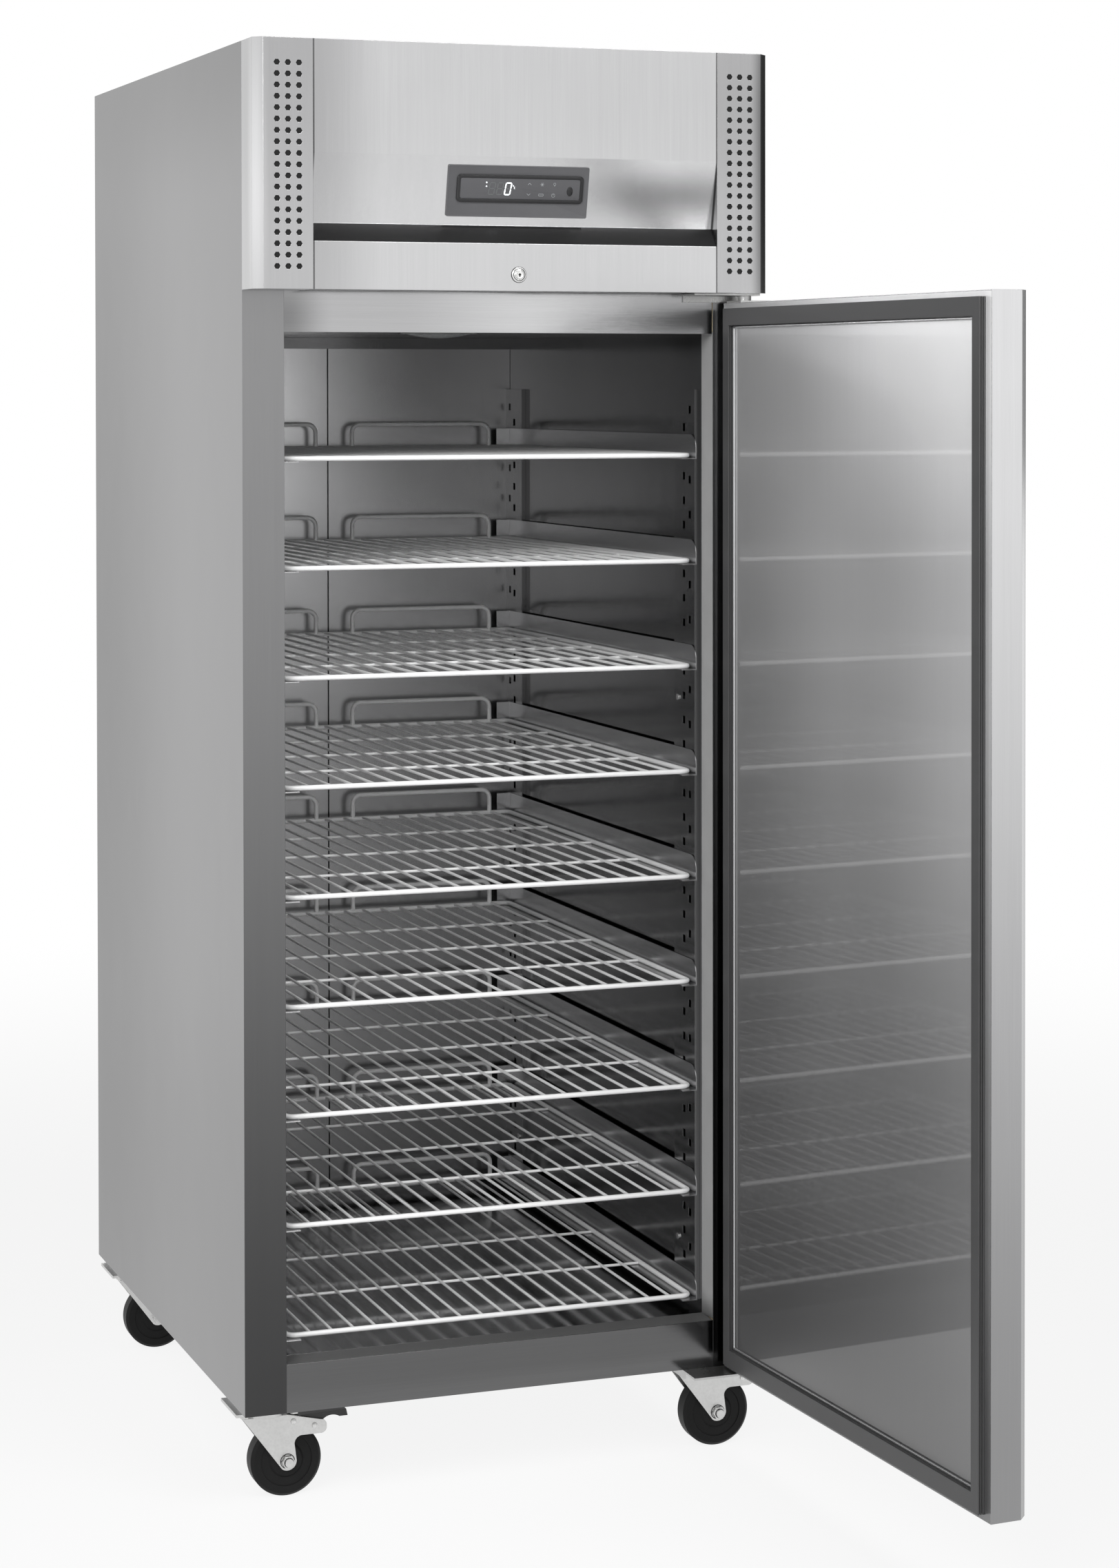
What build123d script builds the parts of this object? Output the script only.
from build123d import *
import math
import os

os.makedirs("parts", exist_ok=True)

# A tall one-door pastry freezer on casters, with nine pull-out wire shelves.
# Millimetres, +Z up, the front faces -Y. The floor is z = 0, x = 0 is the middle of the cabinet,
# and y = 0 is midway between the front and the rear casters.

# Cabinet
ground_clearance = 138.0
front_caster_inset = 90.0
rear_caster_inset = 60.0
stile_width = 58.0
sill_height = 66.0
top_bay = 170.0
header_height = 56.0
fascia_height = 333.0
back_wall = 55.0
duct_depth = 12.0
skin = 1.2
liner_sheet = 1.0
strip_depth = 37.0
strip_thickness = 2.5
strip_taper = 2.0
ceiling_rise = 6.0

# Base rails under the cabinet
rail_height = 10.0
rail_width = 84.0
rail_wall = 2.0
rail_side_gap = 8.0
rail_front_gap = 47.0

# Air duct on the back wall, fed through two slots in the ceiling
duct_seam = 2.0
duct_seam_shift = -2.0
duct_side_gap = 0.3
duct_end_gap = 18.0
air_slot_inner = 50.0
air_slot_outer = 250.0
air_slot_margin = 1.5

# Pilasters and their slots
pilaster_width = 78.0
pilaster_depth = 7.0
pilaster_floor_gap = 17.0
pilaster_top_reach = 94.0
pilaster_front_inset = 46.0
slot_width = 10.0
slot_height = 11.0
hook_slot_offset = 19.0
hook_slot_pitch = 50.0
clip_slot_offset = 41.0
clip_slot_pitch = 35.0
slot_end_margin = 20.0
screw_offset = 62.0
screw_heights = (77.0, 857.0)
screw_head_radius = 4.5
screw_head_height = 2.0
screw_shank_radius = 2.0

# Shelves: wire grids of 600 x 800 on nine levels
shelf_count = 9
shelf_pitch = 150.0
shelf_width = 600.0
shelf_length = 800.0
lowest_shelf_height = 23.0
rim_wire = 7.0
rim_corner_radius = 12.0
grid_wire = 4.0
grid_wire_count = 18
grid_wire_lift = 1.5
cross_wire = 4.0
wire_weld = 1.1
cross_wire_count = 3
shelf_front_gap = 46.0
shelf_side_gap = 3.0
shelf_rear_gap = 24.0
backstop_side_gap = 33.0
backstop_gap = 54.0
backstop_height = 38.0
backstop_corner_radius = 14.0

# Shelf rails
rail_sheet = 1.5
rail_rise = 30.0
rail_ledge = 22.0
rail_front_overhang = 8.0
rail_corner_radius = 20.0
rail_tab_width = 24.0
rail_tab_gap = 4.0
shelf_running_gap = 0.1
lug_width = 8.0
lug_height = 9.0
lug_reach = 3.0

# Ceiling lamp
lamp_radius = 50.0
lamp_base_radius = 56.0
lamp_base_height = 2.5
lamp_dome_depth = 7.0
lamp_glass = 2.0
lamp_from_front = 290.0

# Fascia above the door
fascia_projection = 65.0
edge_chamfer = 12.5
chamfer_angle = 45.0
left_end_width = 81.0
right_end_width = 78.0
lower_band_height = 64.0
ledge_rise = 25.0
recess_depth = 20.0
slant_rise = 93.0
fascia_lip = 18.0
recess_return = 26.0
grille_columns = 3
grille_pitch_x = 15.2
grille_pitch_z = 15.0
grille_hex_radius = 4.3
grille_inset_left = 31.4
grille_inset_right = 29.0
grille_low_gap = 30.0
filter_thickness = 4.0
filter_overlap = 8.0

# Controller on the slanted panel
bezel_width = 197.0
bezel_height = 70.0
bezel_thickness = 2.5
bezel_corner = 8.0
bezel_shift = 4.5
controller_width = 182.0
controller_height = 38.0
controller_proud = 1.5
controller_depth = 14.0
controller_corner = 5.0
controller_lift = 4.0
controller_fit = 0.1

# Door lock
lock_height = 22.0
lock_ring_radius = 10.0
lock_ring_proud = 2.5
lock_body_radius = 8.5
lock_body_depth = 24.0
barrel_radius = 6.0
barrel_proud = 1.5
key_slot_width = 1.6
key_slot_length = 8.0
key_slot_depth = 2.0
cam_reach = 48.0
cam_width = 12.0
cam_thickness = 3.0
cam_slot_clearance = 2.5

# Door, modelled closed and then swung open
door_side_gap = 2.0
door_thickness = 55.0
door_bottom_gap = 3.0
door_top_gap = 13.0
door_liner_sheet = 1.0
hinge_inset = 23.0
hinge_setback = 32.0
door_open_angle = 93.5
gasket_end_inset = 8.0
gasket_end_width = 24.0
gasket_side_inset = 15.0
gasket_side_width = 18.0
gasket_height = 9.0
gasket_groove_heights = (2.7, 5.6)
gasket_groove = 1.6
gasket_groove_depth = 3.0

# Hinges
hinge_pin_radius = 6.0
hinge_clearance = 0.05
pan_hole_clearance = 0.6
hinge_plate = 3.0
bush_wall = 3.5
bush_end_gap = 0.1
top_pin_engagement = 24.0
bottom_pin_engagement = 24.0
bracket_reach = 13.0
bracket_back_reach = 43.0
bracket_width = 99.0
bracket_flange = 9.0
bracket_edge_gap = 5.0
door_plate_length = 45.0
door_plate_margin = 3.0

# Casters
caster_side_inset = 50.0
caster_plate_thickness = 4.0
caster_plate_x = 100.0
caster_plate_y = 85.0
caster_bolt_x = 70.0
caster_bolt_y = 60.0
caster_bolt_radius = 4.0
caster_bolt_head = 6.5
caster_bolt_head_height = 5.0
wheel_radius = 50.0
wheel_width = 32.0
wheel_trail = 28.0
wheel_side_gap = 1.5
tyre_inner_radius = 36.0
hub_radius = 21.0
wheel_dish = 3.0
tread_round = 4.0
axle_radius = 6.0
axle_clearance = 0.05
axle_lobe = 13.0
axle_nut = 9.5
axle_nut_height = 8.0
axle_tip = 4.0
fork_sheet = 2.5
crown_sheet = 3.0
fork_heel = 33.0
kingpin_radius = 6.0
race_radius = 28.0
race_height = 10.0
swivel_clearance = 0.05
fork_arm_reach = 84.0
fork_arm_low = 84.0
fork_arm_high = 103.0
fork_arm_corner = 8.0
fork_neck_x = 38.0
fork_neck_radius = 11.0
pedal_pivot_x = 67.0
pedal_pivot_z = 95.5
pedal_pin_radius = 3.5
pedal_pin_clearance = 0.05
pedal_side_gap = 1.0
pedal_heel_reach = 45.0
pedal_heel_z = 103.0
pedal_tip_reach = 115.0
pedal_tip_run = 12.0
pedal_top_z = 112.5
pedal_tip_thickness = 9.0
pedal_waist_x = 92.0
pedal_waist_z = 106.5
pedal_root_x = 79.0
pedal_root_z = 101.0
pedal_hub_radius = 6.5
pedal_slope = 2.0
shoe_radius = 3.5
shoe_offset_x = 2.0
shoe_offset_z = -8.5
fork_rivet_x = 36.5
fork_rivet_z = 104.0
fork_rivet_radius = 4.0
fork_rivet_height = 1.5

# Refrigeration in the top compartment
condenser_width = 330.0
condenser_depth = 44.0
condenser_height = 250.0
condenser_centre_x = -80.0
condenser_front_gap = 24.0
condenser_tube = 4.5
condenser_rows = 5
condenser_bend = 10.0
shroud_depth = 30.0
shroud_sheet = 1.5
condenser_fan_radius = 92.0
fan_tip_gap = 5.0
fan_hub_radius = 20.0
fan_hub_length = 22.0
fan_blade_sheet = 2.0
fan_blade_angle = 28.0
fan_blade_count = 5
fan_blade_root = 3.0
condenser_blade_width = 50.0
fan_shaft_radius = 4.0
fan_shaft_clearance = 0.05
fan_shaft_length = 14.0
motor_radius = 34.0
motor_length = 55.0
motor_stand_width = 40.0
motor_stand_length = 28.0
motor_gap = 2.0
compressor_foot_size = 156.0
compressor_shell_radius = 73.0
compressor_round = 27.0
compressor_neck_radius = 55.0
compressor_neck_height = 24.0
compressor_height = 190.0
compressor_x = 215.0
compressor_from_front = 270.0
compressor_foot = 12.0
evaporator_box_width = 540.0
evaporator_box_depth = 300.0
evaporator_box_height = 250.0
evaporator_box_wall = 18.0
evaporator_width = 380.0
evaporator_depth = 90.0
evaporator_height = 170.0
evaporator_back_gap = 27.0
evaporator_end_plate = 2.4
evaporator_fan_radius = 72.0
evaporator_blade_width = 40.0
drip_tray_height = 14.0
drip_tray_margin = 5.0
electrical_box_width = 170.0
electrical_box_depth = 80.0
electrical_box_height = 150.0
electrical_box_x = 225.0
electrical_box_chamfer = 4.0
pipe_radius = 4.0
pipe_bend = 16.0
pipe_run = 64.0
pipe_spread = 24.0
gland_x = -300.0
gland_height = 60.0
gland_bore_radius = 6.0
gland_body_radius = 11.0
gland_flange_radius = 16.0
gland_flange_thickness = 4.0
gland_length = 22.0
louvre_columns = 3
louvre_rows = 9
louvre_width = 110.0
louvre_slot = 6.0
louvre_pitch_x = 150.0
louvre_pitch_z = 22.0
louvre_low_gap = 80.0

# Overall sizes, from what the cabinet holds
rack_height = shelf_pitch * (shelf_count - 1)
opening_height = 2 * strip_taper + lowest_shelf_height + rack_height + top_bay
cabinet_width = shelf_width + 2 * (shelf_side_gap + pilaster_depth + strip_taper + stile_width)
body_depth = shelf_front_gap + shelf_length + shelf_rear_gap + back_wall
body_height = sill_height + opening_height + header_height + fascia_height
pilaster_length = lowest_shelf_height - pilaster_floor_gap + rack_height + pilaster_top_reach
door_width = cabinet_width - 2 * door_side_gap
door_height = sill_height + opening_height + header_height - door_bottom_gap - door_top_gap
backstop_width = shelf_width / 2 - backstop_gap / 2 - backstop_side_gap
grille_rows = int((fascia_height - 2 * grille_low_gap) / grille_pitch_z) + 1

# Planes that the sizes above give
half_width = cabinet_width / 2
front_y = -(body_depth + front_caster_inset - rear_caster_inset) / 2
back_y = front_y + body_depth
base_z = ground_clearance
roof_z = base_z + body_height
opening_low_z = base_z + sill_height
opening_high_z = opening_low_z + opening_height
deck_z = opening_high_z + header_height
deck_top_z = deck_z + skin
stile_x = half_width - stile_width
liner_x = stile_x - strip_taper
floor_z = opening_low_z + strip_taper
ceiling_z = opening_high_z + ceiling_rise
liner_front_y = front_y + strip_depth
duct_y = back_y - back_wall
liner_back_y = duct_y + duct_depth
pilaster_x = liner_x - pilaster_depth
pilaster_low_z = floor_z + pilaster_floor_gap
fascia_y = front_y - fascia_projection
door_low_z = base_z + door_bottom_gap
door_high_z = door_low_z + door_height
door_back_y = fascia_y + door_thickness
door_half = door_width / 2
hinge_x = half_width - hinge_inset
hinge_y = front_y - hinge_setback
hinge_axis = Axis((hinge_x, hinge_y, 0), (0, 0, 1))
rail_low_z = base_z - rail_height
fork_top_z = rail_low_z - caster_plate_thickness - race_height
shelf_levels = [floor_z + lowest_shelf_height + shelf_pitch * k for k in range(shelf_count)]
shelf_front_y = front_y + shelf_front_gap
shelf_back_y = shelf_front_y + shelf_length
lock_z = deck_z + lock_height


def block(x0, x1, y0, y1, z0, z1):
    """A box between two opposite corners."""
    return Pos((x0 + x1) / 2, (y0 + y1) / 2, (z0 + z1) / 2) * Box(abs(x1 - x0), abs(y1 - y0), abs(z1 - z0))


def polygon_prism(points, direction):
    """A prism on a closed polygon of 3-D points."""
    face = Face(Wire.make_polygon(points, close=True))
    return extrude(face, amount=Vector(*direction).length, dir=direction)


def prism_z(points, z0, z1):
    """A prism along Z on (x, y) points."""
    return polygon_prism([(x, y, z0) for x, y in points], (0, 0, z1 - z0))


def prism_x(points, x0, x1):
    """A prism along X on (y, z) points."""
    return polygon_prism([(x0, y, z) for y, z in points], (x1 - x0, 0, 0))


def rod(x, y, z, radius, length, axis="z"):
    """A round bar that starts at a point and runs along +X, +Y or +Z."""
    bar = Pos(0, 0, length / 2) * Cylinder(radius, length)
    if axis == "x":
        bar = Rot(0, 90, 0) * bar
    if axis == "y":
        bar = Rot(-90, 0, 0) * bar
    return Pos(x, y, z) * bar


def hex_bar(x, y, z, radius, length, axis="z"):
    """A six-sided bar, such as a nut or a bolt head."""
    bar = extrude(RegularPolygon(radius, 6), amount=length)
    if axis == "y":
        bar = Rot(-90, 0, 0) * bar
    return Pos(x, y, z) * bar


def pipe(points, radius, bend):
    """A round tube along straight runs joined by arcs."""
    path = FilletPolyline(*points, radius=bend)
    section = Plane(origin=path @ 0, z_dir=path % 0) * Circle(radius)
    return sweep(section, path=path)


def mirrored(shape):
    """The same shape on the other side of the cabinet."""
    return mirror(shape, about=Plane.YZ)


def fused(first, others):
    """One solid made of several."""
    return first.fuse(*others)


def write(node, solids):
    """Writes one sub-part as a STEP file."""
    export_step(Compound(children=list(solids)), f"parts/{node}.step")


# Outer shell


def side_panel():
    """The right side sheet with the front stile folded from it."""
    sheet = block(half_width - skin, half_width, front_y, back_y, base_z, roof_z)
    stile = block(stile_x, half_width - skin, front_y, front_y + skin, base_z, deck_z)
    return sheet + stile


def back_panel():
    """The back sheet, with louvre slots behind the top compartment."""
    inner = half_width - skin
    sheet = block(-inner, inner, back_y - skin, back_y, base_z, roof_z)
    first_x = -louvre_pitch_x * (louvre_columns - 1) / 2
    slots = []
    for column in range(louvre_columns):
        x = first_x + column * louvre_pitch_x
        for row in range(louvre_rows):
            z = deck_z + louvre_low_gap + row * louvre_pitch_z
            slots.append(block(x - louvre_width / 2, x + louvre_width / 2, back_y - 2 * skin, back_y + skin,
                               z - louvre_slot / 2, z + louvre_slot / 2))
    hole = rod(gland_x, back_y - 2 * skin, deck_z + gland_height, gland_body_radius, 3 * skin, "y")
    return sheet.cut(*slots, hole)


def roof_panel():
    """The top sheet."""
    inner = half_width - skin
    return block(-inner, inner, front_y, back_y - skin, roof_z - skin, roof_z)


def base_rail():
    """The right channel under the cabinet that its two casters bolt to."""
    x1 = half_width - rail_side_gap
    x0 = x1 - rail_width
    y0 = front_y + rail_front_gap
    y1 = back_y - skin
    solid = block(x0, x1, y0, y1, rail_low_z, base_z)
    hollow = block(x0 + rail_wall, x1 - rail_wall, y0, y1, rail_low_z + rail_wall, base_z)
    return cut_bolt_holes(solid - hollow, rail_wall)


def cut_bolt_holes(solid, depth):
    """Cuts the caster bolt holes of the right side through a sheet that starts at the rail's underside."""
    x = half_width - caster_side_inset
    for y in (front_y + front_caster_inset, back_y - rear_caster_inset):
        for dx in (-caster_bolt_x / 2, caster_bolt_x / 2):
            for dy in (-caster_bolt_y / 2, caster_bolt_y / 2):
                solid = solid - rod(x + dx, y + dy, rail_low_z - depth, caster_bolt_radius, 3 * depth)
    return solid


def base_pan():
    """The bottom sheet and the two channels welded under it."""
    inner = half_width - skin
    sheet = block(-inner, inner, front_y + skin, back_y - skin, base_z, base_z + skin)
    right = base_rail()
    return [sheet, right, mirrored(right)]


def air_slots(z0, z1):
    """Cutters for the two slots that feed the air duct."""
    y0 = duct_y + liner_sheet + air_slot_margin
    y1 = liner_back_y - air_slot_margin
    right = block(air_slot_inner, air_slot_outer, y0, y1, z0, z1)
    return [right, mirrored(right)]


def machine_deck():
    """The sheet that closes the insulated box under the top compartment."""
    inner = half_width - skin
    sheet = block(-inner, inner, front_y, back_y - skin, deck_z, deck_top_z)
    return sheet.cut(*air_slots(deck_z - skin, deck_top_z + skin))


def header_panel():
    """The front frame above the opening."""
    return block(-stile_x, stile_x - skin, front_y, front_y + skin, opening_high_z, deck_z)


def sill_panel():
    """The front frame below the opening."""
    return block(-stile_x, stile_x, front_y, front_y + skin, base_z, opening_low_z)


def breaker_strips():
    """Four plastic strips that line the opening between the outer sheets and the liner."""
    y0 = front_y + skin
    y1 = liner_front_y
    outer_low = opening_low_z - strip_thickness
    outer_high = opening_high_z + strip_thickness
    right = prism_z([(stile_x, y0), (liner_x, y1), (liner_x + strip_thickness, y1),
                     (stile_x + strip_thickness, y0)], floor_z, ceiling_z)
    above = prism_x([(y0, opening_high_z), (y1, ceiling_z), (y1, deck_z), (y0, deck_z)], 0, half_width)
    right = right - above
    low = prism_x([(y0, opening_low_z), (y1, floor_z), (y1, floor_z - strip_thickness), (y0, outer_low)],
                  -stile_x, stile_x)
    high = prism_x([(y0, opening_high_z), (y1, ceiling_z), (y1, ceiling_z + strip_thickness),
                    (y0, outer_high)],
                   -stile_x, stile_x)
    return [right, mirrored(right), low, high]


def cabinet_foam():
    """The foam between the outer sheets and the liner."""
    inner = half_width - skin
    solid = block(-inner, inner, front_y + skin, back_y - skin, base_z + skin, deck_z)
    room = block(-liner_x - liner_sheet, liner_x + liner_sheet, front_y, liner_back_y + liner_sheet,
                 floor_z - liner_sheet, ceiling_z + liner_sheet)
    mouth_x = stile_x + strip_thickness
    mouth_high_z = opening_high_z + strip_thickness
    mouth = block(-mouth_x, mouth_x, front_y, liner_front_y, opening_low_z - strip_thickness, mouth_high_z)
    slope = prism_x([(front_y + skin, mouth_high_z), (liner_front_y, mouth_high_z),
                     (liner_front_y, ceiling_z + strip_thickness)], -mouth_x, mouth_x)
    return solid.cut(room, mouth, slope, *air_slots(ceiling_z, deck_z + skin))


def liner():
    """The stainless inner tub: two sides, a back, a floor and a ceiling."""
    y0 = liner_front_y
    outer_x = liner_x + liner_sheet
    right = block(liner_x, outer_x, y0, liner_back_y, floor_z, ceiling_z)
    back = block(-outer_x, outer_x, liner_back_y, liner_back_y + liner_sheet, floor_z, ceiling_z)
    low = block(-outer_x, outer_x, y0, liner_back_y + liner_sheet, floor_z - liner_sheet, floor_z)
    high = block(-outer_x, outer_x, y0, liner_back_y + liner_sheet, ceiling_z, ceiling_z + liner_sheet)
    return [right, mirrored(right), back, low, high.cut(*air_slots(ceiling_z - skin, ceiling_z + skin))]


def duct_panel(x0, x1):
    """One removable back wall panel: a face with a fold along each upright edge."""
    z0 = floor_z + duct_end_gap
    z1 = ceiling_z - duct_end_gap
    solid = block(x0, x1, duct_y, liner_back_y, z0, z1)
    hollow = block(x0 + liner_sheet, x1 - liner_sheet, duct_y + liner_sheet, liner_back_y, z0, z1)
    return solid - hollow


def duct_panels():
    """The two panels of the back wall, with a seam between them."""
    edge = liner_x - duct_side_gap
    left = duct_panel(-edge, duct_seam_shift - duct_seam / 2)
    right = duct_panel(duct_seam_shift + duct_seam / 2, edge)
    return [left, right]


# Pilasters, rails and shelves


def slot_rows(first, pitch, low, high):
    """Slot heights on a pitch that passes through a first height and stays within two limits."""
    start = first - math.floor((first - low) / pitch) * pitch
    return [start + k * pitch for k in range(int((high - start) / pitch) + 1)]


def hook_slot_z():
    """The height of the slots that the lowest rails hook into."""
    return shelf_levels[0] + rail_rise / 2


def front_right_pilaster():
    """A slotted channel on the right wall, near the opening."""
    y0 = front_y + pilaster_front_inset
    y1 = y0 + pilaster_width
    z0 = pilaster_low_z
    z1 = z0 + pilaster_length
    solid = block(pilaster_x, liner_x, y0, y1, z0, z1)
    hollow = block(pilaster_x + skin, liner_x, y0 + skin, y1 - skin, z0, z1)
    cutters = [hollow]
    columns = ((hook_slot_offset, hook_slot_pitch), (clip_slot_offset, clip_slot_pitch))
    for offset, pitch in columns:
        y = y0 + offset
        for z in slot_rows(hook_slot_z(), pitch, z0 + slot_end_margin, z1 - slot_end_margin):
            cutters.append(block(pilaster_x - skin, pilaster_x + 2 * skin, y - slot_width / 2,
                                 y + slot_width / 2, z - slot_height / 2, z + slot_height / 2))
    for height in screw_heights:
        hole_z = z0 + height
        cutters.append(rod(pilaster_x - skin, y0 + screw_offset, hole_z, screw_shank_radius, 3 * skin, "x"))
    return solid.cut(*cutters)


def rear_from_front(shape):
    """Turns a front pilaster or screw end for end and moves it to the rear of the wall."""
    middle = (front_y + pilaster_front_inset + duct_y) / 2
    return mirror(shape, about=Plane(origin=(0, middle, 0), z_dir=(0, 1, 0)))


def four_of(shape):
    """A right front piece and its three copies at the other pilasters."""
    rear = rear_from_front(shape)
    return [shape, mirrored(shape), rear, mirrored(rear)]


def pilaster_screw(height):
    """One countersunk screw through the face of the front right pilaster, into the wall."""
    y = front_y + pilaster_front_inset + screw_offset
    z = pilaster_low_z + height
    head = rod(pilaster_x - screw_head_height, y, z, screw_head_radius, screw_head_height, "x")
    shank = rod(pilaster_x - screw_head_height, y, z, screw_shank_radius,
                screw_head_height + pilaster_depth, "x")
    return head + shank


def rail_span(z):
    """The front, rear, lower and upper limits of a rail's upright leg."""
    y0 = shelf_front_y - rail_front_overhang
    y1 = duct_y - hook_slot_offset + lug_width
    low = z - rim_wire / 2 - shelf_running_gap - rail_sheet
    return y0, y1, low, z + rail_rise


def shelf_rail(z):
    """The right rail of one level: an angle with a rear stop, hooked into two pilasters."""
    y0, y1, low, high = rail_span(z)
    inner = pilaster_x - rail_sheet
    leg = block(inner, pilaster_x, y0, y1, low, high)
    edge = leg.edges().filter_by(Axis.X).group_by(Axis.Y)[0].sort_by(Axis.Z)[-1]
    leg = fillet(edge, rail_corner_radius)
    ledge = block(pilaster_x - rail_ledge, inner, y0, y1, low, low + rail_sheet)
    stop_y = shelf_back_y + rail_tab_gap
    tab = block(pilaster_x - rail_tab_width, inner, stop_y - rail_sheet, stop_y, low + rail_sheet, high)
    lugs = []
    slot_z = z + rail_rise / 2
    for y in (front_y + pilaster_front_inset + hook_slot_offset, duct_y - hook_slot_offset):
        lugs.append(block(pilaster_x, pilaster_x + lug_reach, y - lug_width / 2, y + lug_width / 2,
                          slot_z - lug_height / 2, slot_z + lug_height / 2))
    return fused(leg, [ledge, tab] + lugs)


def shelf_rails():
    """Both rails of every level."""
    rails = []
    for z in shelf_levels:
        right = shelf_rail(z)
        rails += [right, mirrored(right)]
    return rails


def shelf_grid():
    """The wire grid of a shelf, with the centre of its rim wire at z = 0."""
    x = shelf_width / 2 - rim_wire / 2
    y0 = shelf_front_y + rim_wire / 2
    y1 = shelf_back_y - rim_wire / 2
    outline = Pos(0, (y0 + y1) / 2) * RectangleRounded(2 * x, y1 - y0, rim_corner_radius)
    path = outline.wire()
    rim = sweep(Plane(origin=path @ 0, z_dir=path % 0) * Circle(rim_wire / 2), path=path)
    pitch = 2 * x / (grid_wire_count + 1)
    wires = []
    for k in range(grid_wire_count):
        wires.append(rod(-x + (k + 1) * pitch, y0, grid_wire_lift, grid_wire / 2, y1 - y0, "y"))
    cross_z = grid_wire_lift - grid_wire / 2 - cross_wire / 2 + wire_weld
    bay = (y1 - y0) / (cross_wire_count + 1)
    for k in range(cross_wire_count):
        wires.append(rod(-x, y0 + (k + 1) * bay, cross_z, cross_wire / 2, 2 * x, "x"))
    return fused(rim, wires), rim


def backstop(rim):
    """The right upstand at the rear of a shelf: a bent wire that stands on the rim."""
    y = shelf_back_y - rim_wire / 2
    x0 = backstop_gap / 2 + rim_wire / 2
    x1 = x0 + backstop_width - rim_wire
    top = rim_wire / 2 + backstop_height - rim_wire / 2
    wire = pipe([(x0, y, 0), (x0, y, top), (x1, y, top), (x1, y, 0)], rim_wire / 2, backstop_corner_radius)
    return wire - rim


def write_shelves():
    """Writes every level's shelf: its grid and its two upstands."""
    grid, rim = shelf_grid()
    right = backstop(rim)
    left = mirrored(right)
    for number, z in enumerate(shelf_levels, start=1):
        write(f"shelf_{number}", [Pos(0, 0, z) * solid for solid in (grid, right, left)])


# Ceiling lamp


def lamp_base():
    """The ring that carries the lamp glass, screwed to the ceiling."""
    y = front_y + lamp_from_front
    ring = rod(0, y, ceiling_z - lamp_base_height, lamp_base_radius, lamp_base_height)
    seat = rod(0, y, ceiling_z - lamp_base_height, lamp_radius - lamp_glass, lamp_base_height / 2)
    return ring - seat


def lamp_lens():
    """The domed glass below the ring."""
    rise = lamp_dome_depth
    sphere_radius = (lamp_radius ** 2 + rise ** 2) / (2 * rise)
    centre_z = sphere_radius - rise
    keep = Pos(0, 0, -rise) * Cylinder(lamp_radius, 2 * rise)
    outer = (Pos(0, 0, centre_z) * Sphere(sphere_radius)) & keep
    inner = Pos(0, 0, centre_z) * Sphere(sphere_radius - lamp_glass)
    return Pos(0, front_y + lamp_from_front, ceiling_z - lamp_base_height) * (outer - inner)


# Fascia, grilles and controls


def fascia_profile():
    """The centre panel's front line as (y, z) points, from its bottom to its top."""
    z = fascia_y_to_z()
    return [(fascia_y, deck_z), (fascia_y, z["band"]), (fascia_y + recess_depth, z["ledge"]),
            (fascia_y, z["slant"]), (fascia_y, roof_z)]


def fascia_y_to_z():
    """The heights at which the centre panel is folded."""
    band = deck_z + lower_band_height
    ledge = band + ledge_rise
    return {"band": band, "ledge": ledge, "slant": ledge + slant_rise}


def fascia_centre_panel():
    """The folded centre panel with its recess for the controller."""
    x0 = -half_width + left_end_width
    x1 = half_width - right_end_width
    front = fascia_profile()
    back = [(y + skin, z) for y, z in reversed(front)]
    sheet = prism_x(front + back, x0, x1)
    top = block(x0, x1, fascia_y + skin, front_y, roof_z - skin, roof_z)
    lip = block(x0, x1, fascia_y + skin, fascia_y + fascia_lip, deck_z, deck_z + skin)
    hole = rod(0, fascia_y - skin, lock_z, lock_body_radius, 3 * skin, "y")
    window = slant_plane() * Pos(0, controller_lift, 0) * Box(
        controller_width + 2 * controller_fit, controller_height + 2 * controller_fit, 2 * recess_depth)
    return fused(sheet, [top, lip]).cut(hole, window)


def end_panel(side, width, inset):
    """A flat end of the fascia with a chamfered corner and a field of hexagonal holes."""
    seam = half_width - width
    outer = half_width
    points = [(seam, fascia_y), (outer - edge_chamfer, fascia_y), (outer, fascia_y + edge_chamfer),
              (outer, front_y)]
    lean = skin * math.tan(math.radians(chamfer_angle / 2))
    inside = [(outer - skin, front_y), (outer - skin, fascia_y + edge_chamfer + lean),
              (outer - edge_chamfer - lean, fascia_y + skin), (seam + skin, fascia_y + skin)]
    fold = [(seam + skin, fascia_y + recess_return), (seam, fascia_y + recess_return)]
    wall = prism_z(points + inside + fold, deck_z, roof_z)
    cap_points = inside + [(seam + skin, front_y)]
    cap = prism_z(cap_points, roof_z - skin, roof_z)
    foot = prism_z(cap_points, deck_z, deck_z + skin)
    holes = []
    for column in range(grille_columns):
        for row in range(grille_rows):
            x = outer - inset - column * grille_pitch_x
            z = deck_z + grille_low_gap + row * grille_pitch_z
            holes.append(hex_bar(x, fascia_y - skin, z, grille_hex_radius, 3 * skin, "y"))
    panel = fused(wall, [cap, foot]).cut(*holes)
    return panel if side > 0 else mirrored(panel)


def grille_filter(side, inset):
    """The dark filter mat clipped behind one field of holes."""
    x1 = half_width - inset + filter_overlap
    x0 = half_width - inset - (grille_columns - 1) * grille_pitch_x - filter_overlap
    z0 = deck_z + grille_low_gap - filter_overlap
    z1 = z0 + (grille_rows - 1) * grille_pitch_z + 2 * filter_overlap
    mat = block(x0, x1, fascia_y + skin, fascia_y + skin + filter_thickness, z0, z1)
    return mat if side > 0 else mirrored(mat)


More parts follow.
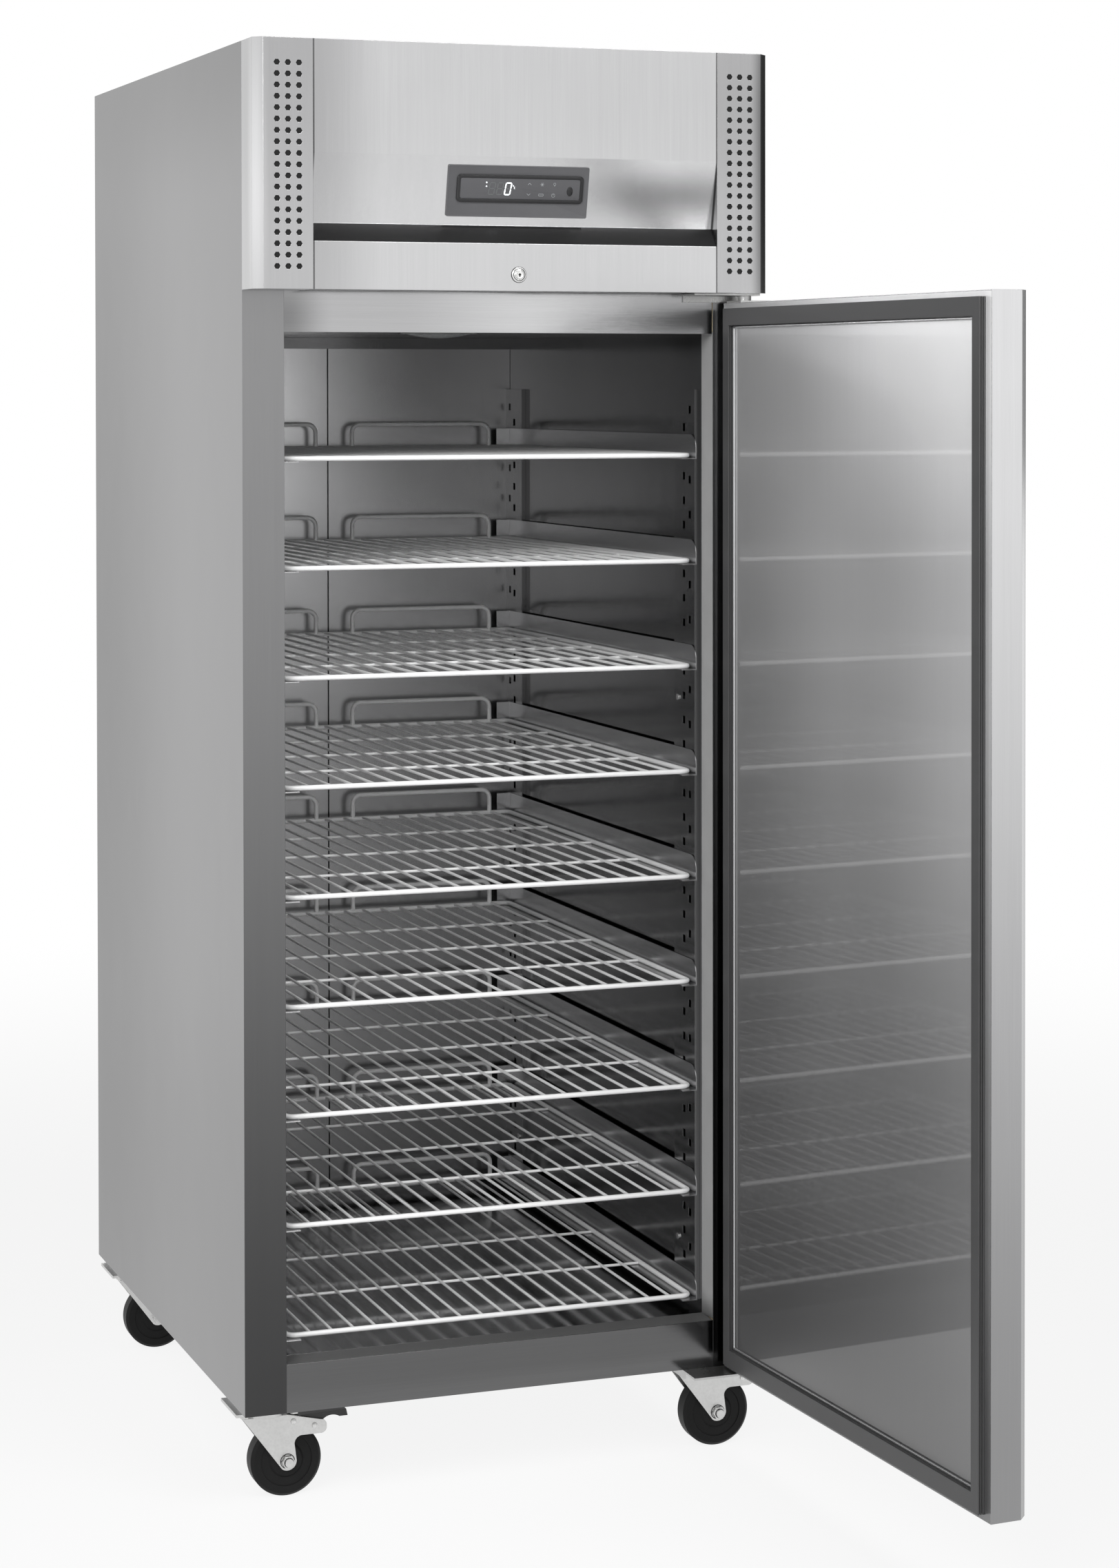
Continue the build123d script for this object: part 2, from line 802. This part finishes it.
def slant_plane():
    """The working plane of the slanted panel, with its x along +X and its z towards the front."""
    z = fascia_y_to_z()
    lean = math.atan2(recess_depth, slant_rise)
    normal = (0, -math.cos(lean), -math.sin(lean))
    origin = (bezel_shift, fascia_y + recess_depth / 2, (z["ledge"] + z["slant"]) / 2)
    return Plane(origin=origin, x_dir=(1, 0, 0), z_dir=normal)


def slant_slab(width, height, corner, low, high, lift):
    """A rounded slab on the slanted panel, between two heights above it."""
    face = RectangleRounded(width, height, corner)
    return slant_plane() * Pos(0, lift, low) * extrude(face, amount=high - low)


def controller_bezel():
    """The frame plate round the controller."""
    plate = slant_slab(bezel_width, bezel_height, bezel_corner, 0, bezel_thickness, 0)
    window = slant_slab(controller_width + 2 * controller_fit, controller_height + 2 * controller_fit,
                        controller_corner, -bezel_thickness, 2 * bezel_thickness, controller_lift)
    return plate - window


def controller():
    """The touch controller: a rounded face and a body behind the panel."""
    return slant_slab(controller_width, controller_height, controller_corner, -controller_depth,
                      bezel_thickness + controller_proud, controller_lift)


def lock_housing():
    """The lock's ring on the front and its body behind the sheet."""
    ring = rod(0, fascia_y - lock_ring_proud, lock_z, lock_ring_radius, lock_ring_proud, "y")
    body = rod(0, fascia_y, lock_z, lock_body_radius, lock_body_depth, "y")
    bore = rod(0, fascia_y - lock_ring_proud, lock_z, barrel_radius + hinge_clearance,
               lock_ring_proud + lock_body_depth, "y")
    return ring + body - bore


def cam_y():
    """The near face of the lock's cam."""
    return fascia_y + lock_body_depth + bush_end_gap


def lock_barrel():
    """The barrel with its key slot, and the cam behind it that swings down into the door."""
    y0 = fascia_y - lock_ring_proud - barrel_proud
    barrel = rod(0, y0, lock_z, barrel_radius, cam_y() - y0, "y")
    key = block(-key_slot_width / 2, key_slot_width / 2, y0, y0 + key_slot_depth,
                lock_z - key_slot_length / 2, lock_z + key_slot_length / 2)
    cam = block(-cam_width / 2, cam_reach, cam_y(), cam_y() + cam_thickness,
                lock_z - cam_width / 2, lock_z + cam_width / 2)
    return barrel - key + cam


# Door, in its closed place


def door_plan(inset):
    """The door's plan as (x, y) points, drawn in by an inset everywhere but at the back."""
    x = door_half - inset
    lean = inset * math.tan(math.radians(chamfer_angle / 2))
    corner_x = door_half - edge_chamfer - lean
    corner_y = fascia_y + edge_chamfer + lean
    y = fascia_y + inset
    return [(-x, door_back_y), (-x, corner_y), (-corner_x, y), (corner_x, y), (x, corner_y), (x, door_back_y)]


def cam_pocket(low, high):
    """The space in the door's top edge that the cam swings into."""
    fall = lock_z - door_high_z
    reach = math.sqrt(cam_reach ** 2 - fall ** 2)
    x0 = -cam_width / 2 - cam_slot_clearance
    x1 = reach + cam_width + cam_slot_clearance
    y0 = cam_y() - cam_slot_clearance
    return block(x0, x1, y0, y0 + cam_thickness + 2 * cam_slot_clearance, low, high)


def pin_hole(radius, z0, z1):
    """A cutter on the hinge axis."""
    return rod(hinge_x, hinge_y, z0, radius, z1 - z0)


def door_outer_pan():
    """The folded outer sheet of the door, open at the back."""
    outer = prism_z(door_plan(0), door_low_z, door_high_z)
    inner = prism_z(door_plan(skin), door_low_z + skin, door_high_z - skin)
    hole = hinge_pin_radius + pan_hole_clearance
    holes = pin_hole(hole, door_low_z - skin, door_low_z + 2 * skin)
    holes_top = pin_hole(hole, door_high_z - 2 * skin, door_high_z + skin)
    return outer.cut(inner, holes, holes_top, cam_pocket(door_high_z - 2 * skin, door_high_z + skin))


def door_liner():
    """The inner sheet that closes the back of the door."""
    x = door_half - skin
    return block(-x, x, door_back_y - door_liner_sheet, door_back_y, door_low_z + skin, door_high_z - skin)


def door_foam():
    """The foam inside the door, with room for the hinge pins and the cam."""
    plan = [(x, min(y, door_back_y - door_liner_sheet)) for x, y in door_plan(skin)]
    solid = prism_z(plan, door_low_z + skin, door_high_z - skin)
    hole = hinge_pin_radius + 2 * pan_hole_clearance
    low = pin_hole(hole, door_low_z, door_low_z + bottom_pin_engagement + 2 * skin)
    high = pin_hole(hole, door_high_z - top_pin_engagement - 2 * skin, door_high_z)
    cam_low = lock_z - cam_reach - cam_slot_clearance
    return solid.cut(low, high, cam_pocket(cam_low, door_high_z))


def gasket_strip(length, width, corner):
    """One mitred side of the gasket, along X, with its outer edge on y = 0 and its back on z = 0."""
    half = length / 2
    section = [(0, 0), (width, 0)]
    right_side = []
    left_side = []
    for z in gasket_groove_heights:
        for dz, cut in ((0, 0), (gasket_groove / 2, gasket_groove_depth), (gasket_groove, 0)):
            right_side.append((width - cut, z + dz))
            left_side.append((cut, z + dz))
    section += right_side
    section += [(width, gasket_height), (0, gasket_height)]
    section += list(reversed(left_side))
    bar = prism_x(section, -half, half)
    mitres = []
    for end, inner in ((-half, -half + corner), (half, half - corner)):
        mitres.append(prism_z([(end, 0), (end, width), (inner, width)], 0, gasket_height))
    return bar.cut(*mitres)


def door_gasket():
    """The bellows gasket: four mitred strips on the door's inner sheet."""
    width = door_width - 2 * gasket_side_inset
    height = door_height - 2 * gasket_end_inset
    middle_z = (door_low_z + door_high_z) / 2
    stand = Rot(-90, 0, 0)
    end = gasket_strip(width, gasket_end_width, gasket_side_width)
    side = gasket_strip(height, gasket_side_width, gasket_end_width)
    strips = []
    for turn, bar, reach in ((0, end, height), (180, end, height), (90, side, width), (270, side, width)):
        strip = stand * mirror(bar, about=Plane.XZ)
        strip = Pos(0, 0, -reach / 2) * strip
        strip = Rot(0, turn, 0) * strip
        strips.append(Pos(0, door_back_y, middle_z) * strip)
    return strips


def door_hinge_plates():
    """The plate on the door's top edge and the bushes that turn on the two hinge pins."""
    bore = hinge_pin_radius + hinge_clearance
    plate_top = door_high_z + hinge_plate
    x1 = door_half - door_plate_margin
    plate = block(x1 - door_plate_length, x1, fascia_y + edge_chamfer / 2, door_back_y - door_plate_margin,
                  door_high_z, plate_top)
    plate = plate - pin_hole(bore, door_high_z - skin, plate_top + skin)
    bush_top = deck_z - hinge_plate - bush_end_gap
    upper = pin_hole(bore + bush_wall, plate_top, bush_top) - pin_hole(bore, plate_top - skin, deck_z)
    low_z = base_z + bush_end_gap
    lower = pin_hole(bore + bush_wall, low_z, door_low_z) - pin_hole(bore, base_z, door_low_z + skin)
    return [plate, upper, lower]


def opened(solids):
    """Swings closed door pieces to the open rest position."""
    return [solid.rotate(hinge_axis, door_open_angle) for solid in solids]


def hinge_brackets():
    """The two brackets that carry the hinge pins."""
    x1 = half_width - bracket_edge_gap
    x0 = x1 - bracket_width
    y0 = hinge_y - bracket_reach
    low = block(x0, x1, y0, front_y + bracket_back_reach, base_z - hinge_plate, base_z)
    flange = block(x0, x0 + hinge_plate, front_y - hinge_plate, front_y + bracket_back_reach,
                   base_z - hinge_plate - bracket_flange, base_z - hinge_plate)
    low_pin = pin_hole(hinge_pin_radius, base_z, door_low_z + bottom_pin_engagement)
    high = block(x0, x1, y0, front_y, deck_z - hinge_plate, deck_z)
    high_flange = block(x0, x1, front_y - hinge_plate, front_y, deck_z - hinge_plate - bracket_flange,
                        deck_z - hinge_plate)
    high_pin = pin_hole(hinge_pin_radius, door_high_z - top_pin_engagement, deck_z - hinge_plate)
    return [fused(low, [flange, low_pin]), fused(high, [high_flange, high_pin])]


# Casters, modelled about the swivel axis at x = 0, y = 0


def caster_places():
    """Names and places of the four swivel axes."""
    x = half_width - caster_side_inset
    front = front_y + front_caster_inset
    rear = back_y - rear_caster_inset
    return {"front_left": (-x, front), "front_right": (x, front),
            "rear_left": (-x, rear), "rear_right": (x, rear)}


def caster_plate():
    """The top plate of a caster with its kingpin."""
    z1 = rail_low_z
    z0 = z1 - caster_plate_thickness
    plate = block(-caster_plate_x / 2, caster_plate_x / 2, -caster_plate_y / 2, caster_plate_y / 2, z0, z1)
    pin_low = fork_top_z - crown_sheet
    return plate + rod(0, 0, pin_low, kingpin_radius, z0 - pin_low)


def caster_bolt(dx, dy):
    """A hexagon bolt through the plate and the rail's web."""
    z0 = rail_low_z - caster_plate_thickness
    head = hex_bar(dx, dy, z0 - caster_bolt_head_height, caster_bolt_head, caster_bolt_head_height)
    return head + rod(dx, dy, z0, caster_bolt_radius, caster_plate_thickness + rail_wall)


def caster_plates():
    """The four plates and their sixteen bolts."""
    bolts = []
    plate = caster_plate()
    for dx in (-caster_bolt_x / 2, caster_bolt_x / 2):
        for dy in (-caster_bolt_y / 2, caster_bolt_y / 2):
            bolts.append(caster_bolt(dx, dy))
            plate = plate - rod(dx, dy, rail_low_z - caster_plate_thickness, caster_bolt_radius,
                                caster_plate_thickness)
    return [Pos(x, y, 0) * solid for x, y in caster_places().values() for solid in [plate] + bolts]


def fork_leg(with_arm):
    """One side of a fork as a face in the XZ plane: a slanted leg, and an arm where there is a pedal."""
    x = wheel_trail
    r = axle_lobe
    top = fork_top_z
    heel = (-fork_heel, top - crown_sheet)
    slope = math.atan2(heel[1] - wheel_radius, x - heel[0])
    reach = math.hypot(x - heel[0], heel[1] - wheel_radius)
    touch = math.pi + math.asin(r / reach) - slope
    left = (x + r * math.cos(touch + math.pi / 2), wheel_radius + r * math.sin(touch + math.pi / 2))
    low = (x, wheel_radius - r)
    right = (x + r, wheel_radius)
    neck_z = fork_arm_low - fork_neck_radius
    half = math.sqrt(0.5)
    neck_end = fork_neck_x + fork_neck_radius
    neck_middle = (neck_end - half * fork_neck_radius, neck_z + half * fork_neck_radius)
    edges = [Line((-fork_heel, top), heel), Line(heel, left), ThreePointArc(left, low, right),
             Line(right, (fork_neck_x, neck_z)),
             ThreePointArc((fork_neck_x, neck_z), neck_middle, (neck_end, fork_arm_low))]
    if with_arm:
        c = fork_arm_corner
        end = fork_arm_reach
        edges += [Line((neck_end, fork_arm_low), (end - c, fork_arm_low)),
                  ThreePointArc((end - c, fork_arm_low), (end - c + half * c, fork_arm_low + c - half * c),
                                (end, fork_arm_low + c)),
                  Line((end, fork_arm_low + c), (end, fork_arm_high - c)),
                  ThreePointArc((end, fork_arm_high - c), (end - c + half * c, fork_arm_high - c + half * c),
                                (end - c, fork_arm_high)),
                  Line((end - c, fork_arm_high), (race_radius, top))]
    else:
        edges += [Line((neck_end, fork_arm_low), (neck_end, fork_arm_high)),
                  Line((neck_end, fork_arm_high), (race_radius, top))]
    edges.append(Line((race_radius, top), (-fork_heel, top)))
    return Plane.XZ * make_face(Curve() + edges)


def fork_half_width():
    """Half the outer width of a fork."""
    return wheel_width / 2 + wheel_side_gap + fork_sheet


def caster_fork(with_arm):
    """The swivel fork: a ball race on top, a crown and two legs."""
    outer = fork_half_width()
    leg = extrude(fork_leg(with_arm), amount=fork_sheet)
    near = Pos(0, -outer + fork_sheet, 0) * leg
    far = Pos(0, outer, 0) * leg
    crown = block(-fork_heel, race_radius, -outer, outer, fork_top_z - crown_sheet, fork_top_z)
    race_top = rail_low_z - caster_plate_thickness - swivel_clearance
    race = rod(0, 0, fork_top_z, race_radius, race_top - fork_top_z)
    pin_room = rod(0, 0, fork_top_z - 2 * crown_sheet, kingpin_radius + swivel_clearance,
                   race_height + 3 * crown_sheet)
    axle_room = rod(wheel_trail, -2 * outer, wheel_radius, axle_radius, 4 * outer, "y")
    solid = fused(near, [far, crown, race]).cut(pin_room, axle_room)
    if with_arm:
        solid = solid - rod(pedal_pivot_x, -2 * outer, pedal_pivot_z, pedal_pin_radius, 4 * outer, "y")
        for y in (-outer - fork_rivet_height, outer):
            solid = solid + rod(fork_rivet_x, y, fork_rivet_z, fork_rivet_radius, fork_rivet_height, "y")
    return solid


def axle_bolt():
    """The axle: a bolt through both legs with its nut on the front side."""
    outer = fork_half_width()
    shaft = rod(wheel_trail, -outer - axle_nut_height - axle_tip, wheel_radius, axle_radius,
                2 * outer + axle_nut_height + axle_tip, "y")
    nut = hex_bar(wheel_trail, -outer - axle_nut_height, wheel_radius, axle_nut, axle_nut_height, "y")
    head = hex_bar(wheel_trail, outer, wheel_radius, axle_nut, axle_nut_height / 2, "y")
    return fused(shaft, [nut, head])


def pedal_pin():
    """The riveted pin across the two arms of a fork that the brake pedal turns on."""
    outer = fork_half_width()
    return rod(pedal_pivot_x, -outer - fork_rivet_height, pedal_pivot_z, pedal_pin_radius,
               2 * outer + 2 * fork_rivet_height, "y")


def caster_wheel():
    """A wheel as two solids: the tread ring and the dished centre with its hub."""
    half = wheel_width / 2
    bore = axle_radius + axle_clearance
    web = half - wheel_dish
    centre = [(bore, -half), (hub_radius, -half), (hub_radius + wheel_dish, -web), (tyre_inner_radius, -web),
              (tyre_inner_radius, web), (hub_radius + wheel_dish, web), (hub_radius, half), (bore, half)]
    side = half - wheel_dish / 2
    ring = [(tyre_inner_radius, -side), (wheel_radius - tread_round, -side), (wheel_radius, tread_round - side),
            (wheel_radius, side - tread_round), (wheel_radius - tread_round, side), (tyre_inner_radius, side)]
    solids = []
    for section in (ring, centre):
        face = Face(Wire.make_polygon([(r, y, 0) for r, y in section], close=True))
        solids.append(Pos(wheel_trail, 0, wheel_radius) * revolve(face, Axis.Y))
    return solids


def brake_pedal():
    """The brake pedal: a wedge on a hub that turns on the fork's pin, with a shoe beside the tread."""
    half = wheel_width / 2 + wheel_side_gap - pedal_side_gap
    low = pedal_top_z - pedal_tip_thickness
    heel_top = (pedal_heel_reach, pedal_top_z - pedal_slope)
    tip_top = (pedal_tip_reach - pedal_slope, pedal_top_z)
    tip_low = (pedal_tip_reach, low)
    run_end = (pedal_tip_reach - pedal_tip_run, low)
    waist = (pedal_waist_x, pedal_waist_z)
    root = (pedal_root_x, pedal_root_z)
    hub_right = (pedal_pivot_x + pedal_hub_radius, pedal_pivot_z)
    hub_left = (pedal_pivot_x - pedal_hub_radius, pedal_pivot_z)
    heel_low = (pedal_heel_reach, pedal_heel_z)
    edges = [Line(heel_top, tip_top), Line(tip_top, tip_low), Line(tip_low, run_end),
             ThreePointArc(run_end, waist, root), Line(root, hub_right), Line(hub_right, hub_left),
             Line(hub_left, heel_low), Line(heel_low, heel_top)]
    hub = Pos(pedal_pivot_x, pedal_pivot_z) * Circle(pedal_hub_radius)
    shoe = Pos(pedal_pivot_x + shoe_offset_x, pedal_pivot_z + shoe_offset_z) * Circle(shoe_radius)
    face = make_face(Curve() + edges) + hub + shoe
    solid = Pos(0, half, 0) * extrude(Plane.XZ * face, amount=2 * half)
    bore = rod(pedal_pivot_x, -2 * half, pedal_pivot_z, pedal_pin_radius + pedal_pin_clearance, 4 * half, "y")
    return solid - bore


def write_casters():
    """Writes the forks, the wheels and the front pedals."""
    for name, (x, y) in caster_places().items():
        braked = name.startswith("front")
        pieces = [caster_fork(braked), axle_bolt()]
        if braked:
            pieces.append(pedal_pin())
            write(f"brake_pedal_{name}", [Pos(x, y, 0) * brake_pedal()])
        write(f"caster_fork_{name}", [Pos(x, y, 0) * piece for piece in pieces])
        write(f"caster_wheel_{name}", [Pos(x, y, 0) * piece for piece in caster_wheel()])


# Top compartment


def condenser_front():
    """The front face of the condenser."""
    return front_y + condenser_front_gap


def fan_centre_z():
    """The height of the condenser fan's shaft."""
    return deck_top_z + condenser_height / 2


def condenser():
    """The condenser coil: a fin block with return bends at both ends."""
    x0 = condenser_centre_x - condenser_width / 2
    x1 = x0 + condenser_width
    y0 = condenser_front()
    z0 = deck_top_z
    solid = block(x0, x1, y0, y0 + condenser_depth, z0, z0 + condenser_height)
    pitch = condenser_height / condenser_rows
    bends = []
    for row in range(condenser_rows):
        z = z0 + (row + 0.5) * pitch
        y = y0 + condenser_depth / 2
        low = z - pitch / 4
        high = z + pitch / 4
        for x, out in ((x0, x0 - pitch / 2), (x1, x1 + pitch / 2)):
            bends.append(pipe([(x, y, low), (out, y, low), (out, y, high), (x, y, high)], condenser_tube,
                              condenser_bend))
    return fused(solid, bends)


def condenser_shroud():
    """The fan shroud behind the condenser, with a round mouth."""
    x0 = condenser_centre_x - condenser_width / 2
    x1 = x0 + condenser_width
    y0 = condenser_front() + condenser_depth
    z1 = deck_top_z + condenser_height
    solid = block(x0, x1, y0, y0 + shroud_depth, deck_top_z, z1)
    hollow = block(x0 + shroud_sheet, x1 - shroud_sheet, y0, y0 + shroud_depth - shroud_sheet,
                   deck_top_z + shroud_sheet, z1 - shroud_sheet)
    mouth_radius = condenser_fan_radius + fan_tip_gap
    mouth = rod(condenser_centre_x, y0, fan_centre_z(), mouth_radius, 2 * shroud_depth, "y")
    return solid - hollow - mouth


def fan(x, y, z, radius, blade_width):
    """A fan: a hub with pitched blades, its shaft hole towards +Y."""
    hub = rod(0, 0, 0, fan_hub_radius, fan_hub_length)
    blades = []
    span = radius - fan_hub_radius + fan_blade_root
    for k in range(fan_blade_count):
        blade = Pos(fan_hub_radius - fan_blade_root + span / 2, 0, fan_hub_length / 2) * (
            Rot(fan_blade_angle, 0, 0) * Box(span, blade_width, fan_blade_sheet))
        blades.append(Rot(0, 0, 360 * k / fan_blade_count) * blade)
    keep = Pos(0, 0, fan_hub_length / 2) * Cylinder(radius, 3 * fan_hub_length)
    bore = fan_shaft_radius + fan_shaft_clearance
    hole = rod(0, 0, fan_hub_length - fan_shaft_length, bore, fan_shaft_length)
    solid = (fused(hub, blades) & keep) - hole
    return Pos(x, y, z) * (Rot(-90, 0, 0) * solid)


def fan_motor(x, y, z, floor):
    """A fan motor on a stand, with its shaft towards -Y."""
    body = rod(x, y, z, motor_radius, motor_length, "y")
    shaft = rod(x, y - fan_shaft_length, z, fan_shaft_radius, fan_shaft_length, "y")
    middle = y + motor_length / 2
    stand = block(x - motor_stand_width / 2, x + motor_stand_width / 2, middle - motor_stand_length / 2,
                  middle + motor_stand_length / 2, floor, z)
    return fused(body, [shaft, stand])


def condenser_fan_y():
    """The front of the condenser fan's hub."""
    return condenser_front() + condenser_depth + shroud_depth - fan_hub_length / 2


def evaporator_box_back():
    """The back of the evaporator box."""
    return back_y - skin - evaporator_box_wall


def evaporator_fan_y():
    """The front of the evaporator fan's hub."""
    return evaporator_box_back() - evaporator_box_depth + evaporator_box_wall + fan_hub_length


def evaporator_fan_z():
    """The height of the evaporator fan's shaft."""
    return deck_top_z + drip_tray_height + evaporator_height / 2


def evaporator_fan():
    """The evaporator fan."""
    return fan(0, evaporator_fan_y(), evaporator_fan_z(), evaporator_fan_radius, evaporator_blade_width)


def condenser_fan():
    """The condenser fan."""
    return fan(condenser_centre_x, condenser_fan_y(), fan_centre_z(), condenser_fan_radius,
               condenser_blade_width)


def fan_motors():
    """The two fan motors on their stands."""
    behind = fan_hub_length + motor_gap
    first = fan_motor(condenser_centre_x, condenser_fan_y() + behind, fan_centre_z(), deck_top_z)
    second = fan_motor(0, evaporator_fan_y() + behind, evaporator_fan_z(), deck_top_z)
    return [first, second]


def evaporator_place():
    """The evaporator's front and back."""
    back = evaporator_box_back() - evaporator_box_wall - evaporator_back_gap
    return back - evaporator_depth, back


def evaporator_casing():
    """The insulated box over the evaporator and the drip tray under it."""
    half = evaporator_box_width / 2
    y1 = evaporator_box_back()
    y0 = y1 - evaporator_box_depth
    z1 = deck_top_z + evaporator_box_height
    wall = evaporator_box_wall
    box = block(-half, half, y0, y1, deck_top_z, z1)
    room = block(-half + wall, half - wall, y0 + wall, y1 - wall, deck_top_z, z1 - wall)
    front, back = evaporator_place()
    rim = drip_tray_margin
    x = evaporator_width / 2 + rim
    tray = block(-x, x, front - rim, back + rim, deck_top_z, deck_top_z + drip_tray_height)
    tray_room = block(-x + skin, x - skin, front - rim + skin, back + rim - skin, deck_top_z + skin,
                      deck_top_z + drip_tray_height)
    return [box - room, tray - tray_room]


def evaporator():
    """The evaporator coil on its two end plates, standing in the drip tray."""
    front, back = evaporator_place()
    x = evaporator_width / 2
    z0 = deck_top_z + skin
    inner = x - evaporator_end_plate
    core = block(-inner, inner, front, back, z0 + drip_tray_height, z0 + evaporator_height)
    plate = block(inner, x, front, back, z0, z0 + evaporator_height)
    return fused(core, [plate, mirrored(plate)])


def compressor():
    """The hermetic compressor on its foot plate."""
    y = front_y + compressor_from_front
    z0 = deck_top_z
    half = compressor_foot_size / 2
    foot = block(compressor_x - half, compressor_x + half, y - half, y + half, z0, z0 + compressor_foot)
    z1 = z0 + compressor_foot
    body = rod(compressor_x, y, z1, compressor_shell_radius, compressor_height - compressor_foot)
    body = fillet(body.edges().filter_by(GeomType.CIRCLE), compressor_round)
    neck = rod(compressor_x, y, z1, compressor_neck_radius, compressor_neck_height)
    return fused(foot, [body, neck])


def electrical_box():
    """The box for the wiring behind the right end of the fascia."""
    x0 = electrical_box_x - electrical_box_width / 2
    y0 = front_y + condenser_front_gap
    box = block(x0, x0 + electrical_box_width, y0, y0 + electrical_box_depth, deck_top_z,
                deck_top_z + electrical_box_height)
    return chamfer(box.edges().filter_by(Axis.Y), electrical_box_chamfer)


def refrigerant_lines():
    """Copper lines from the compressor to the condenser and to the evaporator box."""
    y = front_y + compressor_from_front
    top = deck_top_z + compressor_height
    coil_x = condenser_centre_x + condenser_width / 2 - pipe_run
    coil_y = condenser_front() + condenser_depth / 2
    coil_top = deck_top_z + condenser_height
    hot_x = compressor_x - pipe_spread
    cold_x = compressor_x + pipe_spread
    hot_z = coil_top + pipe_run / 2
    cold_z = top + pipe_run / 2
    box_front = evaporator_box_back() - evaporator_box_depth
    hot = pipe([(hot_x, y, top), (hot_x, y, hot_z), (coil_x, y, hot_z), (coil_x, coil_y, hot_z),
                (coil_x, coil_y, coil_top)], pipe_radius, pipe_bend)
    cold = pipe([(cold_x, y, top), (cold_x, y, cold_z), (cold_x, box_front, cold_z)], pipe_radius, pipe_bend)
    return [hot, cold]


def cable_gland():
    """The gland that a mains lead goes in by: its flange is inside, its mouth level with the back sheet."""
    z = deck_z + gland_height
    body = rod(gland_x, back_y - gland_length, z, gland_body_radius, gland_length, "y")
    flange_y = back_y - skin - gland_flange_thickness
    flange = rod(gland_x, flange_y, z, gland_flange_radius, gland_flange_thickness, "y")
    bore = rod(gland_x, back_y - 2 * gland_length, z, gland_bore_radius, 4 * gland_length, "y")
    return body + flange - bore


panel = side_panel()
write("side_panels", [panel, mirrored(panel)])
write("back_panel", [back_panel()])
write("roof_panel", [roof_panel()])
write("base_pan", base_pan())
write("machine_deck", [machine_deck()])
write("header_panel", [header_panel()])
write("sill_panel", [sill_panel()])
write("breaker_strips", breaker_strips())
write("cabinet_foam", [cabinet_foam()])
write("liner", liner())
write("duct_panels", duct_panels())
write("pilasters", four_of(front_right_pilaster()))
write("pilaster_screws", [s for height in screw_heights for s in four_of(pilaster_screw(height))])
write("shelf_rails", shelf_rails())
write_shelves()
write("lamp_base", [lamp_base()])
write("lamp_lens", [lamp_lens()])
write("fascia_centre_panel", [fascia_centre_panel()])
write("fascia_end_panels", [end_panel(-1, left_end_width, grille_inset_left),
                            end_panel(1, right_end_width, grille_inset_right)])
write("grille_filters", [grille_filter(-1, grille_inset_left), grille_filter(1, grille_inset_right)])
write("controller_bezel", [controller_bezel()])
write("controller", [controller()])
write("lock_housing", [lock_housing()])
write("lock_barrel", [lock_barrel()])
write("hinge_brackets", hinge_brackets())
write("door_outer_pan", opened([door_outer_pan()]))
write("door_liner", opened([door_liner()]))
write("door_foam", opened([door_foam()]))
write("door_gasket", opened(door_gasket()))
write("door_hinge_plates", opened(door_hinge_plates()))
write("caster_plates", caster_plates())
write_casters()
write("compressor", [compressor()])
write("condenser", [condenser()])
write("condenser_shroud", [condenser_shroud()])
write("condenser_fan", [condenser_fan()])
write("fan_motors", fan_motors())
write("evaporator_casing", evaporator_casing())
write("evaporator", [evaporator()])
write("evaporator_fan", [evaporator_fan()])
write("electrical_box", [electrical_box()])
write("refrigerant_lines", refrigerant_lines())
write("cable_gland", [cable_gland()])
